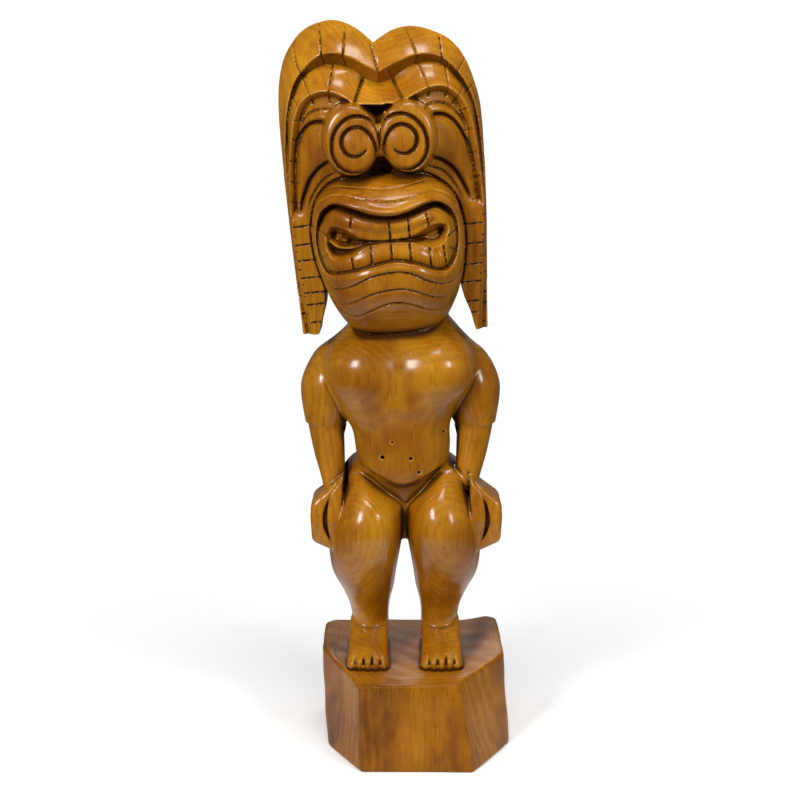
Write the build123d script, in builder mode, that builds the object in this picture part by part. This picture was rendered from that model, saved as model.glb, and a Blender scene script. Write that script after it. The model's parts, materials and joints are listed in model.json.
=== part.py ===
from build123d import *
from math import cos, radians, sin
import os

# A standing tiki figure carved from one log of hardwood, with its log base, modelled as
# the sections that the carver works: base, feet, legs, pelvis, torso, arms, hands and the
# carved members of the head. Neighbouring sections meet face to face on flat cuts.
#
# Millimetres. The origin is on the underside of the base, midway between the feet.
# +Z is up, -Y is the figure's front, and +X is the figure's own left.

os.makedirs("parts", exist_ok=True)

# ---- Base: a split log with its two front corners cut away ----
base_height = 128
base_front = 112
base_back = 140
base_right = 118
base_left = 136
right_corner_width = 48
right_corner_depth = 126
left_corner_width = 64
left_corner_depth = 104
back_corner_cut = 18
base_bevel = 5

# ---- Feet and legs ----
foot_spacing = 98
foot_width = 58
toe_front = 82
toe_thickness = 17
toe_count = 5
toe_cut_width = 2
toe_cut_length = 24
heel_back = 48
ankle_height = base_height + 53
ankle_front = 32
ankle_back = 40
leg_gap = 3
ankle_width = 54
calf_height = ankle_height + 64
calf_width = 78
calf_front = 69
knee_height = ankle_height + 134
knee_width = 98
knee_front = 104
knee_back = 46
thigh_height = ankle_height + 179
thigh_width = 92
thigh_front = 96
hip_height = ankle_height + 207
hip_width = 80
hip_front = 74
hip_back = 52

# ---- Torso and arms ----
body_x = -6
waist_height = hip_height + 42
waist_half_width = 62
waist_half_depth = 52
waist_forward = 4
pelvis_half_depth = 60
pelvis_forward = 8
rib_height = waist_height + 40
rib_half_width = 78
rib_half_depth = 62
rib_forward = 8
arm_plane = 93
arm_seat = 11
chest_height = waist_height + 82
chest_half_width = arm_plane + arm_seat
chest_half_depth = 80
chest_forward = 14
shoulder_height = waist_height + 122
shoulder_half_width = arm_plane + arm_seat
shoulder_half_depth = 66
shoulder_forward = 4
collar_height = waist_height + 182
collar_half_width = 60
collar_half_depth = 50
collar_back = 6
elbow_height = waist_height + 30
elbow_reach = 38
elbow_depth = 66
biceps_height = elbow_height + 35
biceps_reach = 44
biceps_depth = 78
deltoid_height = elbow_height + 70
deltoid_reach = 43
deltoid_depth = 76
arm_top = elbow_height + 118
arm_top_reach = 13
arm_top_depth = 40
elbow_step = 4
forearm_outer = arm_plane + elbow_reach - elbow_step
forearm_width = 47
forearm_depth = 60

# ---- Hands: faceted fists beside the thighs ----
hand_seat = 1
hand_plane = leg_gap + knee_width - hand_seat
hand_thickness = 32
hand_bottom = hip_height - 92
hand_front = 78
hand_back = 14
hand_facet = 22
thumb_slot_width = 3
wrist_outer = hand_plane + 10
wrist_width = 40
wrist_depth = 50
wrist_forward = 28
wrist_gap = 2
pelvis_half_width = wrist_outer - wrist_width + body_x - wrist_gap

# ---- Head: stands on the torso and leans towards the figure's right ----
neck_x = -10
neck_height = waist_height + 160
head_lean = 4.8
brow_level = 225
face_depth = 50
head_back = 110
head_swell = 10
jaw_half_width = 70
jaw_half_depth = 56
jaw_back = 6
jowl_level = 75
jowl_half_width = 97
jowl_half_depth = 80
jowl_back = 12
head_half_width = 112

# ---- Muzzle, mouth and teeth ----
muzzle_axis_depth = 35
muzzle_radius = 99
barrel_margin = 5
muzzle_end_radius = 58
muzzle_bottom = 6
lip_depth = 20
tooth_recess = 6
mouth_half_width = 90
mouth_height = 132
mouth_top = 166
mouth_lobe_top = 180
mouth_bottom = 102
mouth_lobe_bottom = 90
mouth_lobe_x = 64
mouth_slit = 3
tooth_width = 26
tooth_cut_width = 2
tooth_cut_depth = 3
wrinkle_heights = (50, 66, 82)
wrinkle_width = 2
wrinkle_depth = 2.5

# ---- Nose spirals, eyes and cheeks ----
brow_depth = 86
nostril_depth = 118
nostril_x = 35
nostril_height = 265
nostril_half_width = 36
nostril_half_height = 40
spiral_groove_inset = 13
spiral_groove_width = 4
spiral_groove_depth = 5
eye_depth = 98
eye_outer = 108
eye_corner = 90
eye_top = 280
eye_lower = 240
cheek_depth = 84
cheek_bottom = 166
cheek_inset = 9
cheek_bottom_outer = 110
cheek_bottom_inner = 79

# ---- Crests: an M-shaped band over the face, and a larger one above and behind it ----
inner_crest_depth = 95
outer_crest_depth = 72
crest_half_width = 133
crest_side_x = 129
crest_side = 318
crest_shoulder_x = 112
crest_shoulder = 378
crest_peak_x = 57
crest_peak = 415
crest_notch = 381
left_lobe_drop = 12
outer_crest_band = 44
outer_crest_side_band = 7
inner_crest_band = 44
inner_crest_side_band = 10
crest_front_lean = 37
crest_back_lean = 52
crest_cut_width = 3
crest_cut_depth = 5

# ---- Side flaps: notched locks hanging from the crests past the jaw ----
flap_inner = 104
flap_back = 30
flap_middle_outer = 129
flap_tip_inner = 106
flap_tip_outer = 126
flap_hollow_x = 100
flap_hollow_height = 34
flap_hollow_top = 90
flap_notch_width = 2.5
flap_notch_depth = 3
flap_notch_count = 8
flap_notch_spacing = 23
flap_notch_start = 14

lean = radians(head_lean)
lean_across = (cos(lean), 0, sin(lean))
lean_up = (-sin(lean), 0, cos(lean))
neck_point = (neck_x, 0, neck_height)
# Level cuts through the head: local x across, local y to the back.
head_level = Plane(origin=neck_point, x_dir=lean_across, z_dir=lean_up)
# Front view of the head: local x across, local y up, offset towards the front.
head_front = Plane(origin=neck_point, x_dir=lean_across, z_dir=(0, -1, 0))
# Side cuts of the head, offset towards the figure's left.
head_side = Plane(origin=neck_point, x_dir=(0, 1, 0), z_dir=lean_across)

sides = (("right", -1), ("left", 1))


def save(part, name):
    part.label = name
    export_step(part, f"parts/{name}.step")


def keep_below(plane):
    split(bisect_by=plane, keep=Keep.BOTTOM)


def keep_above(plane):
    split(bisect_by=plane, keep=Keep.TOP)


# ---- Base block ----
with BuildPart() as base_block:
    with BuildSketch():
        with BuildLine():
            Polyline(
                (-base_right + right_corner_width, -base_front),
                (base_left - left_corner_width, -base_front),
                (base_left, -base_front + left_corner_depth),
                (base_left, base_back - back_corner_cut),
                (base_left - back_corner_cut, base_back),
                (-base_right + back_corner_cut, base_back),
                (-base_right, base_back - back_corner_cut),
                (-base_right, -base_front + right_corner_depth),
                close=True,
            )
        make_face()
    extrude(amount=base_height)
    chamfer(base_block.faces().sort_by(Axis.Z)[-1].edges(), base_bevel)
save(base_block.part, "base_block")


# ---- Feet: flat soles, toes cut across the front ----
def make_foot(side):
    centre = side * foot_spacing / 2
    with BuildPart() as foot:
        with BuildSketch(Plane.YZ.offset(centre - foot_width / 2)):
            with BuildLine():
                Polyline(
                    (heel_back, base_height),
                    (-toe_front, base_height),
                    (-toe_front, base_height + toe_thickness),
                    (-toe_front + toe_cut_length, base_height + toe_thickness + 5),
                    (-ankle_front, ankle_height),
                    (ankle_back, ankle_height),
                    close=True,
                )
            make_face()
        extrude(amount=foot_width)
        top_edges = foot.edges().filter_by(Plane.XZ.offset(toe_front)).group_by(Axis.Z)[-1]
        fillet(top_edges, toe_thickness / 3)
        cut_y = -toe_front + toe_cut_length / 2
        cut_z = base_height + toe_thickness / 2
        pitch = foot_width / toe_count
        with Locations((centre, cut_y, cut_z)):
            with GridLocations(pitch, 1, toe_count - 1, 1):
                Box(toe_cut_width, toe_cut_length, 2 * toe_thickness, mode=Mode.SUBTRACT)
    return foot.part


# ---- Legs: drumsticks bent at the knee, clear of each other ----
def make_leg(side):
    foot_x = foot_spacing / 2
    sections = (
        (ankle_height, foot_x, ankle_width, ankle_front, ankle_back),
        (calf_height, foot_x, calf_width, calf_front, knee_back),
        (knee_height, leg_gap + knee_width / 2, knee_width, knee_front, knee_back),
        (thigh_height, leg_gap + thigh_width / 2, thigh_width, thigh_front, hip_back),
        (hip_height, leg_gap + hip_width / 2, hip_width, hip_front, hip_back),
    )
    with BuildPart() as leg:
        for height, x, width, front, back in sections:
            with BuildSketch(Plane.XY.offset(height)):
                with Locations((side * x, (back - front) / 2)):
                    Ellipse(width / 2, (back + front) / 2)
        loft()
        if side > 0:
            keep_below(Plane.YZ.offset(hand_plane))
        else:
            keep_above(Plane.YZ.offset(-hand_plane))
    return leg.part


# ---- Hands: blocks with cut corners and a curved slot for the thumb ----
def make_hand(side):
    middle = (hand_back - hand_front) / 2
    with BuildPart() as hand:
        with BuildSketch(Plane.YZ.offset(side * hand_plane)):
            with BuildLine():
                Polyline(
                    (-hand_front + hand_facet, hip_height),
                    (hand_back, hip_height),
                    (hand_back, hand_bottom + hand_facet),
                    (hand_back - hand_facet, hand_bottom),
                    (-hand_front + hand_facet, hand_bottom),
                    (-hand_front, hand_bottom + hand_facet),
                    (-hand_front, hip_height - hand_facet),
                    close=True,
                )
            make_face()
        extrude(amount=side * hand_thickness)
        outer = hand.faces().sort_by(Axis.X)[-1 if side > 0 else 0]
        chamfer(outer.edges(), hand_thickness / 4)
        with BuildSketch(Plane.XZ.offset(hand_front)):
            slot_x = side * (hand_plane + hand_thickness / 3)
            reach = (hip_height - hand_bottom) / 3
            height = (hip_height + hand_bottom) / 2
            with BuildLine():
                ThreePointArc(
                    (slot_x, height - reach),
                    (slot_x + side * hand_thickness / 3, height),
                    (slot_x, height + reach),
                )
                offset(amount=thumb_slot_width, side=Side.BOTH)
            make_face()
        extrude(amount=-hand_facet, mode=Mode.SUBTRACT)
    return hand.part


# ---- Arms: an upper arm against the chest and a forearm down to the fist ----
def make_upper_arm(side):
    sections = (
        (elbow_height, elbow_reach, elbow_depth),
        (biceps_height, biceps_reach, biceps_depth),
        (deltoid_height, deltoid_reach, deltoid_depth),
        (arm_top, arm_top_reach, arm_top_depth),
    )
    with BuildPart() as arm:
        for height, reach, depth in sections:
            with BuildSketch(Plane.XY.offset(height)):
                with Locations((body_x + side * arm_plane, 0)):
                    Ellipse(reach, depth / 2)
        loft()
        if side > 0:
            keep_above(Plane.YZ.offset(body_x + arm_plane))
        else:
            keep_below(Plane.YZ.offset(body_x - arm_plane))
    return arm.part


def make_forearm(side):
    elbow_x = body_x + side * (forearm_outer - forearm_width / 2)
    wrist_x = side * (wrist_outer - wrist_width / 2)
    with BuildPart() as forearm:
        with BuildSketch(Plane.XY.offset(hip_height)):
            with Locations((wrist_x, -wrist_forward)):
                Ellipse(wrist_width / 2, wrist_depth / 2)
        with BuildSketch(Plane.XY.offset(elbow_height)):
            with Locations((elbow_x, -2)):
                Ellipse(forearm_width / 2, forearm_depth / 2)
        loft()
    return forearm.part


for name, side in sides:
    save(make_foot(side), f"{name}_foot")
    save(make_leg(side), f"{name}_leg")
    save(make_hand(side), f"{name}_hand")
    save(make_forearm(side), f"{name}_forearm")
    save(make_upper_arm(side), f"{name}_upper_arm")

# ---- Pelvis ----
with BuildPart() as pelvis:
    with BuildSketch(Plane.XY.offset(hip_height)):
        with Locations((body_x, -pelvis_forward)):
            Ellipse(pelvis_half_width, pelvis_half_depth)
    with BuildSketch(Plane.XY.offset(waist_height)):
        with Locations((body_x, -waist_forward)):
            Ellipse(waist_half_width, waist_half_depth)
    loft()
save(pelvis.part, "pelvis")

# ---- Torso: waist, ribs, chest and shoulders, cut level with the leaning neck ----
torso_sections = (
    (waist_height, waist_half_width, waist_half_depth, -waist_forward),
    (rib_height, rib_half_width, rib_half_depth, -rib_forward),
    (chest_height, chest_half_width, chest_half_depth, -chest_forward),
    (shoulder_height, shoulder_half_width, shoulder_half_depth, -shoulder_forward),
    (collar_height, collar_half_width, collar_half_depth, collar_back),
)
with BuildPart() as torso:
    for height, half_width, half_depth, y in torso_sections:
        with BuildSketch(Plane.XY.offset(height)):
            with Locations((body_x, y)):
                Ellipse(half_width, half_depth)
    loft()
    keep_below(head_level)
    keep_below(Plane.YZ.offset(body_x + arm_plane))
    keep_above(Plane.YZ.offset(body_x - arm_plane))
save(torso.part, "torso")

# ---- Head block: jaw and back of the head, flat in front for the muzzle ----
head_middle = (head_back - outer_crest_depth) / 2
head_half_depth = head_back - head_middle
head_sections = (
    (0, jaw_half_width, jaw_half_depth, jaw_back),
    (jowl_level, jowl_half_width, jowl_half_depth, jowl_back),
    (cheek_bottom, head_half_width, head_half_depth, head_middle),
    (brow_level, head_half_width, head_half_depth, head_middle),
)
with BuildPart() as head_block:
    for height, half_width, half_depth, y in head_sections:
        with BuildSketch(head_level.offset(height)):
            with Locations((0, y)):
                Ellipse(half_width, half_depth)
    loft()
    keep_below(head_front.offset(face_depth))
    keep_below(head_side.offset(flap_inner))
    keep_above(head_side.offset(-flap_inner))
save(head_block.part, "head_block")


# ---- Muzzle: a turned barrel, with the mouth cut into it and grooves under the lip ----
def make_barrel(inset):
    plane = head_front.offset(muzzle_axis_depth)
    with BuildPart() as barrel:
        with BuildSketch(plane):
            with BuildLine():
                ThreePointArc(
                    (muzzle_end_radius - inset, muzzle_bottom),
                    (muzzle_radius - inset, (muzzle_bottom + brow_level) / 2),
                    (muzzle_end_radius - inset, brow_level),
                )
                Polyline(
                    (muzzle_end_radius - inset, brow_level),
                    (0, brow_level),
                    (0, muzzle_bottom),
                    (muzzle_end_radius - inset, muzzle_bottom),
                )
            make_face()
        revolve(axis=Axis(plane.origin, plane.y_dir))
    return barrel.part


def mouth_outline(top, lobe_top, bottom, lobe_bottom, corner):
    Spline(
        (-mouth_half_width, corner),
        (-mouth_lobe_x, lobe_top),
        (0, top),
        (mouth_lobe_x, lobe_top),
        (mouth_half_width, corner),
        (mouth_lobe_x, lobe_bottom),
        (0, bottom),
        (-mouth_lobe_x, lobe_bottom),
        periodic=True,
    )


barrel = make_barrel(0)
mouth_floor = make_barrel(lip_depth)
tooth_face = make_barrel(tooth_recess)
tooth_cut_floor = make_barrel(tooth_recess + tooth_cut_depth)
wrinkle_floor = make_barrel(wrinkle_depth)

with BuildPart() as mouth:
    with BuildSketch(head_front.offset(muzzle_axis_depth)):
        with BuildLine():
            mouth_outline(mouth_top, mouth_lobe_top, mouth_bottom, mouth_lobe_bottom, mouth_height)
        make_face()
    extrude(amount=muzzle_radius + barrel_margin)
    add(mouth_floor, mode=Mode.SUBTRACT)

with BuildPart() as wrinkles:
    for height in wrinkle_heights:
        with BuildSketch(head_level.offset(height)):
            with Locations((0, -muzzle_axis_depth)):
                Circle(muzzle_radius + barrel_margin)
        extrude(amount=wrinkle_width)
    add(wrinkle_floor, mode=Mode.SUBTRACT)

with BuildPart() as muzzle:
    add(barrel)
    keep_above(head_front.offset(face_depth))
    add(mouth.part, mode=Mode.SUBTRACT)
    add(wrinkles.part, mode=Mode.SUBTRACT)
save(muzzle.part, "muzzle")


# ---- Teeth: two rows on the floor of the mouth, parted by a slit ----
def make_teeth(side, cut_positions):
    with BuildPart() as cuts:
        with BuildSketch(head_front.offset(face_depth)):
            for x in cut_positions:
                with Locations((x, mouth_height)):
                    Rectangle(tooth_cut_width, 2 * mouth_half_width)
        extrude(amount=muzzle_radius)
        add(tooth_cut_floor, mode=Mode.SUBTRACT)
    slit_middle = (mouth_top + mouth_bottom) / 2
    with BuildPart() as teeth:
        add(mouth.part)
        keep_above(head_front.offset(face_depth))
        with BuildSketch(head_front.offset(muzzle_axis_depth)):
            with Locations((0, slit_middle + side * mouth_half_width)):
                Rectangle(2 * muzzle_radius, 2 * mouth_half_width - mouth_slit)
        extrude(amount=muzzle_radius + 5, mode=Mode.INTERSECT)
        add(tooth_face, mode=Mode.INTERSECT)
        add(cuts.part, mode=Mode.SUBTRACT)
    return teeth.part


save(make_teeth(1, [tooth_width * n for n in (-2, -1, 0, 1, 2)]), "upper_teeth")
save(make_teeth(-1, [tooth_width * (n - 0.5) for n in (-2, -1, 0, 1, 2, 3)]), "lower_teeth")


# ---- Crest outlines, across the head and up ----
def crest_region(side_band, top_band):
    side_top = crest_side - 0.55 * top_band
    shoulder = crest_shoulder - 0.82 * top_band
    peak = crest_peak - top_band
    ridge = Spline(
        (side_band - crest_half_width, brow_level),
        (side_band - crest_side_x, side_top),
        (side_band - crest_shoulder_x, shoulder),
        (-crest_peak_x, peak),
        (0, crest_notch - 0.85 * top_band),
        (crest_peak_x, peak - left_lobe_drop),
        (crest_shoulder_x - side_band, shoulder - left_lobe_drop),
        (crest_side_x - side_band, side_top - left_lobe_drop / 2),
        (crest_half_width - side_band, brow_level),
    )
    Line(ridge @ 1, ridge @ 0)


inner_top = outer_crest_band + inner_crest_band
inner_side = outer_crest_side_band + inner_crest_side_band

# ---- Outer crest: the hood of the head, leaning back to its M-shaped ridge ----
with BuildPart() as outer_crest:
    with BuildSketch(head_front.offset(outer_crest_depth)):
        with BuildLine():
            crest_region(0, 0)
        make_face()
    extrude(amount=-outer_crest_depth - head_back)
    with BuildSketch(head_level.offset(brow_level)):
        with Locations((0, head_middle)):
            Ellipse(crest_half_width + head_swell, head_half_depth)
        with Locations((0, (head_middle - outer_crest_depth) / 2)):
            Rectangle(2 * (crest_half_width + head_swell), outer_crest_depth + head_middle)
    extrude(amount=crest_peak, mode=Mode.INTERSECT)
    front_edge = head_front.offset(outer_crest_depth).location
    front_edge *= Location((0, crest_notch - outer_crest_band, 0))
    keep_below(Plane(front_edge).rotated((-crest_front_lean, 0, 0)))
    back_edge = head_front.offset(-head_back).location * Location((0, crest_side, 0))
    keep_above(Plane(back_edge).rotated((crest_back_lean, 0, 0)))
save(outer_crest.part, "outer_crest")

# ---- Inner crest: the band in front of it, with cuts across its lobes ----
with BuildPart() as inner_crest:
    with BuildSketch(head_front.offset(outer_crest_depth)):
        with BuildLine():
            crest_region(outer_crest_side_band, outer_crest_band)
        make_face()
        with BuildLine():
            crest_region(inner_side, inner_top)
        make_face(mode=Mode.SUBTRACT)
    extrude(amount=inner_crest_depth - outer_crest_depth)
    with BuildSketch(head_front.offset(inner_crest_depth)):
        for x in (-1.5 * crest_peak_x, -0.5 * crest_peak_x, 0.5 * crest_peak_x, 1.5 * crest_peak_x):
            with Locations((x, crest_peak - inner_top)):
                Rectangle(crest_cut_width, 3 * inner_crest_band)
    extrude(amount=-crest_cut_depth, mode=Mode.SUBTRACT)
save(inner_crest.part, "inner_crest")

# ---- Brow: the sunk face behind the eyes and the nose ----
with BuildPart() as brow:
    with BuildSketch(head_front.offset(outer_crest_depth)):
        with BuildLine():
            crest_region(inner_side, inner_top)
        make_face()
    extrude(amount=brow_depth - outer_crest_depth)
save(brow.part, "brow")


# ---- Nose spirals: two discs side by side, each with a ring cut in its face ----
def make_nostril(side):
    groove_half_width = nostril_half_width - spiral_groove_inset
    groove_half_height = nostril_half_height - spiral_groove_inset
    with BuildPart() as nostril:
        with BuildSketch(head_front.offset(brow_depth)):
            with Locations((side * nostril_x, nostril_height)):
                Ellipse(nostril_half_width, nostril_half_height)
        extrude(amount=nostril_depth - brow_depth)
        with BuildSketch(head_front.offset(nostril_depth)):
            with Locations((side * nostril_x, nostril_height)):
                Ellipse(groove_half_width, groove_half_height)
                Ellipse(
                    groove_half_width - spiral_groove_width,
                    groove_half_height - spiral_groove_width,
                    mode=Mode.SUBTRACT,
                )
        extrude(amount=-spiral_groove_depth, mode=Mode.SUBTRACT)
        if side > 0:
            keep_above(head_side)
        else:
            keep_below(head_side)
    return nostril.part


# ---- Eyes: crescents outside the nose spirals ----
def make_eye(side):
    inner = nostril_x + nostril_half_width
    with BuildPart() as eye:
        with BuildSketch(head_front.offset(brow_depth)):
            with BuildLine():
                ThreePointArc(
                    (side * inner, eye_top),
                    (side * (inner + eye_outer) / 2 + side * 6, eye_top - 10),
                    (side * eye_outer, brow_level),
                )
                Line((side * eye_outer, brow_level), (side * eye_corner, brow_level))
                ThreePointArc(
                    (side * eye_corner, brow_level),
                    (side * (inner + eye_corner) / 2 + side * 2, eye_lower - 4),
                    (side * inner, eye_lower),
                )
                Line((side * inner, eye_lower), (side * inner, eye_top))
            make_face()
        extrude(amount=eye_depth - brow_depth)
    return eye.part


# ---- Cheeks: ridges between the muzzle and the flaps ----
def make_cheek(side):
    with BuildPart() as cheek:
        with BuildSketch(head_front.offset(face_depth)):
            with BuildLine():
                Polyline(
                    (side * muzzle_end_radius, brow_level),
                    (side * (crest_half_width - cheek_inset), brow_level),
                    (side * cheek_bottom_outer, cheek_bottom),
                    (side * cheek_bottom_inner, cheek_bottom),
                    close=True,
                )
            make_face()
        extrude(amount=cheek_depth - face_depth)
        add(barrel, mode=Mode.SUBTRACT)
    return cheek.part


# ---- Flaps: tapered locks with notches across the front ----
def make_flap(side):
    with BuildPart() as flap:
        with BuildSketch(head_front.offset(face_depth)):
            with BuildLine():
                Polyline(
                    (side * flap_inner, brow_level),
                    (side * crest_half_width, brow_level),
                    (side * flap_middle_outer, brow_level / 2),
                    (side * flap_tip_outer, 0),
                    (side * flap_tip_inner, 0),
                    (side * flap_hollow_x, flap_hollow_height),
                    (side * flap_inner, flap_hollow_top),
                    close=True,
                )
            make_face()
        extrude(amount=-face_depth - flap_back)
        with BuildSketch(head_front.offset(face_depth)):
            for n in range(flap_notch_count):
                height = flap_notch_start + n * flap_notch_spacing
                with Locations((side * flap_inner, height)):
                    Rectangle(crest_half_width, flap_notch_width)
        extrude(amount=-flap_notch_depth, mode=Mode.SUBTRACT)
    return flap.part


for name, side in sides:
    save(make_nostril(side), f"{name}_nostril")
    save(make_eye(side), f"{name}_eye")
    save(make_cheek(side), f"{name}_cheek")
    save(make_flap(side), f"{name}_flap")
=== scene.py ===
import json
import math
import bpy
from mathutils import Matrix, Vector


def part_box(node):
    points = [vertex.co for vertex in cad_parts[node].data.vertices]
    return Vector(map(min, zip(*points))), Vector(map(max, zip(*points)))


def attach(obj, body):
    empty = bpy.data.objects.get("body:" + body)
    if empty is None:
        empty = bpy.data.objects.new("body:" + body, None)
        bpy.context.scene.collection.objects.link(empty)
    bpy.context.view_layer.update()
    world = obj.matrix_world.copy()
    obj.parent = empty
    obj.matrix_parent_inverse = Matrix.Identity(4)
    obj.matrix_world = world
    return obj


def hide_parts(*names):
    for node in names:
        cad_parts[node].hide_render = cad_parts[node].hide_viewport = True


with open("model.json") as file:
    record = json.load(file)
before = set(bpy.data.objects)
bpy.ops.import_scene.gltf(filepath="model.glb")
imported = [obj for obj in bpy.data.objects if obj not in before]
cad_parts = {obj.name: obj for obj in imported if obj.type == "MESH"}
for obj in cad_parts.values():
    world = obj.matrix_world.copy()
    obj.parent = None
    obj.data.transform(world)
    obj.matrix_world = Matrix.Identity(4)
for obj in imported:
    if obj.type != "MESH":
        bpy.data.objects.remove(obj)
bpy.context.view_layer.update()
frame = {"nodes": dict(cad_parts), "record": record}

# A tiki figure carved from one log of hardwood. The whole carving is worked out as one
# solid form, skinned once, and parted into the carver's sections along the same cuts as
# the frame's nodes, so the wood runs on from section to section without a seam.

from concurrent.futures import ThreadPoolExecutor

import bmesh
import bpy
import numpy as np
from mathutils import Vector

# Lengths are millimetres until a mesh is made.
METRE = 0.001


def low(node):
    return [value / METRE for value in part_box(node)[0]]


def high(node):
    return [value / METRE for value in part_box(node)[1]]


# ---- Levels and cuts taken from the frame ----
BASE_TOP = high("base_block")[2]
ANKLE = high("right_foot")[2]
HIP = high("right_leg")[2]
WAIST = low("torso")[2]
ELBOW = low("right_upper_arm")[2]
HAND_PLANE = low("left_hand")[0]
BODY_X = (low("torso")[0] + high("torso")[0]) / 2
ARM_PLANE = (high("torso")[0] - low("torso")[0]) / 2
NECK_RISE = 160
NECK = (-10.0, 0.0, WAIST + NECK_RISE)
LEAN = math.radians(4.8)
BROW_LEVEL = 225
FACE_DEPTH = 50

# ---- Cell sizes of the skin ----
FIGURE_CELL = 1.4
BASE_CELL = 2.21


# ---- Working with distances ----
def blend(lower, upper, value):
    t = np.clip((value - lower) / (upper - lower), 0, 1)
    return t * t * (3 - 2 * t)


def join(a, b, soft):
    h = np.clip(0.5 + 0.5 * (b - a) / soft, 0, 1)
    return b + (a - b) * h - soft * h * (1 - h)


def cut(a, b, soft):
    return -join(-a, b, soft)


def meet(a, b, soft):
    return -join(-a, -b, soft)


def groove(distance, width, depth):
    """A V cut along the line where distance is nought, with slightly eased lips."""
    t = np.clip(1 - np.abs(distance) / (width / 2), 0, 1)
    return depth * t * t * (1.6 - 0.6 * t)


def curve(points, closed=False, steps=8):
    """A smooth line through points (Catmull-Rom), as an array of close points."""
    p = np.array(points, float)
    if closed:
        p = np.vstack([p[-1], p, p[0], p[1]])
    else:
        p = np.vstack([2 * p[0] - p[1], p, 2 * p[-1] - p[-2]])
    t = np.linspace(0, 1, steps, endpoint=False)[:, None]
    out = []
    for a, b, c, d in zip(p[:-3], p[1:-2], p[2:-1], p[3:]):
        out.append(0.5 * (2 * b + (c - a) * t + (2 * a - 5 * b + 4 * c - d) * t**2
                          + (3 * b - a - 3 * c + d) * t**3))
    if not closed:
        out.append(p[-2:-1])
    return np.vstack(out)


def track(x, stations, values):
    """A smooth value along x through the stations."""
    s, v = np.array(stations, float), np.array(values, float)
    slope = np.gradient(v, s)
    x = np.clip(x, s[0], s[-1])
    i = np.clip(np.searchsorted(s, x) - 1, 0, len(s) - 2)
    w = s[i + 1] - s[i]
    t = (x - s[i]) / w
    a, b = v[i], v[i + 1]
    m, n = slope[i] * w, slope[i + 1] * w
    return ((2 * t - 3) * t * t + 1) * a + ((t - 2) * t + 1) * t * m \
        + (3 - 2 * t) * t * t * b + (t - 1) * t * t * n


# ---- The face, drawn as a relief: how far it stands forward at (across, up) ----
RELIEF_STEP = 0.5
ACROSS = np.arange(-150, 150.1, RELIEF_STEP)
UP = np.arange(-20, 430.1, RELIEF_STEP)
COARSE = 2
across, up = np.meshgrid(ACROSS, UP, indexing="ij")


def spread(values):
    """Values worked out at every COARSE-th point, filled in between."""
    n, m = across.shape
    i = np.minimum(np.arange(n) / COARSE, values.shape[0] - 1.001)
    j = np.minimum(np.arange(m) / COARSE, values.shape[1] - 1.001)
    i0, j0 = i.astype(int), j.astype(int)
    u, v = (i - i0)[:, None], (j - j0)[None, :]
    rows = values[i0] * (1 - u) + values[i0 + 1] * u
    return rows[:, j0] * (1 - v) + rows[:, j0 + 1] * v


def bent(*runs, steps=6):
    """Smooth runs of points that meet in sharp corners."""
    return np.vstack([curve(run, False, steps) for run in runs])


def nearest(x, y, start, end):
    """How far along a segment the nearest point lies, and its squared distance."""
    (ax, ay), (dx, dy) = start, end - start
    t = np.clip(((x - ax) * dx + (y - ay) * dy) / (dx * dx + dy * dy + 1e-9), 0, 1)
    return t, (x - ax - t * dx) ** 2 + (y - ay - t * dy) ** 2


def line_distance(line, closed=False):
    """Distance to a drawn line, negative inside a closed one or underneath an open one."""
    line = np.array(line)
    rim = np.vstack([line, line[:1]]) if closed else line
    x, y = across[::COARSE, ::COARSE], up[::COARSE, ::COARSE]
    best = np.full(x.shape, 1e9)
    for start, end in zip(rim[:-1], rim[1:]):
        best = np.minimum(best, nearest(x, y, start, end)[1])
    if not closed:
        rim = np.vstack([line, [(line[-1, 0], -300), (line[0, 0], -300)], line[:1]])
    inside = np.zeros(x.shape, bool)
    for (ax, ay), (bx, by) in zip(rim[:-1], rim[1:]):
        crosses = (ay > y) != (by > y)
        inside ^= crosses & (x < (bx - ax) * (y - ay) / (by - ay + 1e-12) + ax)
    return spread(np.sqrt(best) * np.where(inside, -1, 1))


def stroke(points, width, depth, start=1.0, end=1.0, steps=6):
    """A V cut along a drawn line; start and end scale its size at its two ends."""
    line = curve(points, False, steps)
    x0, y0 = line.min(0) - width
    x1, y1 = line.max(0) + width
    i0, i1 = np.searchsorted(ACROSS, [x0, x1])
    j0, j1 = np.searchsorted(UP, [y0, y1])
    x, y = across[i0:i1, j0:j1], up[i0:i1, j0:j1]
    out = np.zeros(across.shape)
    best = np.full(x.shape, 1e9)
    along = np.zeros(x.shape)
    for number, (near_end, far_end) in enumerate(zip(line[:-1], line[1:])):
        t, square = nearest(x, y, near_end, far_end)
        along = np.where(square < best, (number + t) / (len(line) - 1), along)
        best = np.minimum(best, square)
    size = 1 - (1 - start) * blend(0.3, 0, along) - (1 - end) * blend(0.7, 1, along)
    out[i0:i1, j0:j1] = groove(np.sqrt(best) / size, width, depth) * size
    return out


def strokes(lines, *shape):
    return sum(stroke(line, *shape) for line in lines)


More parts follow.
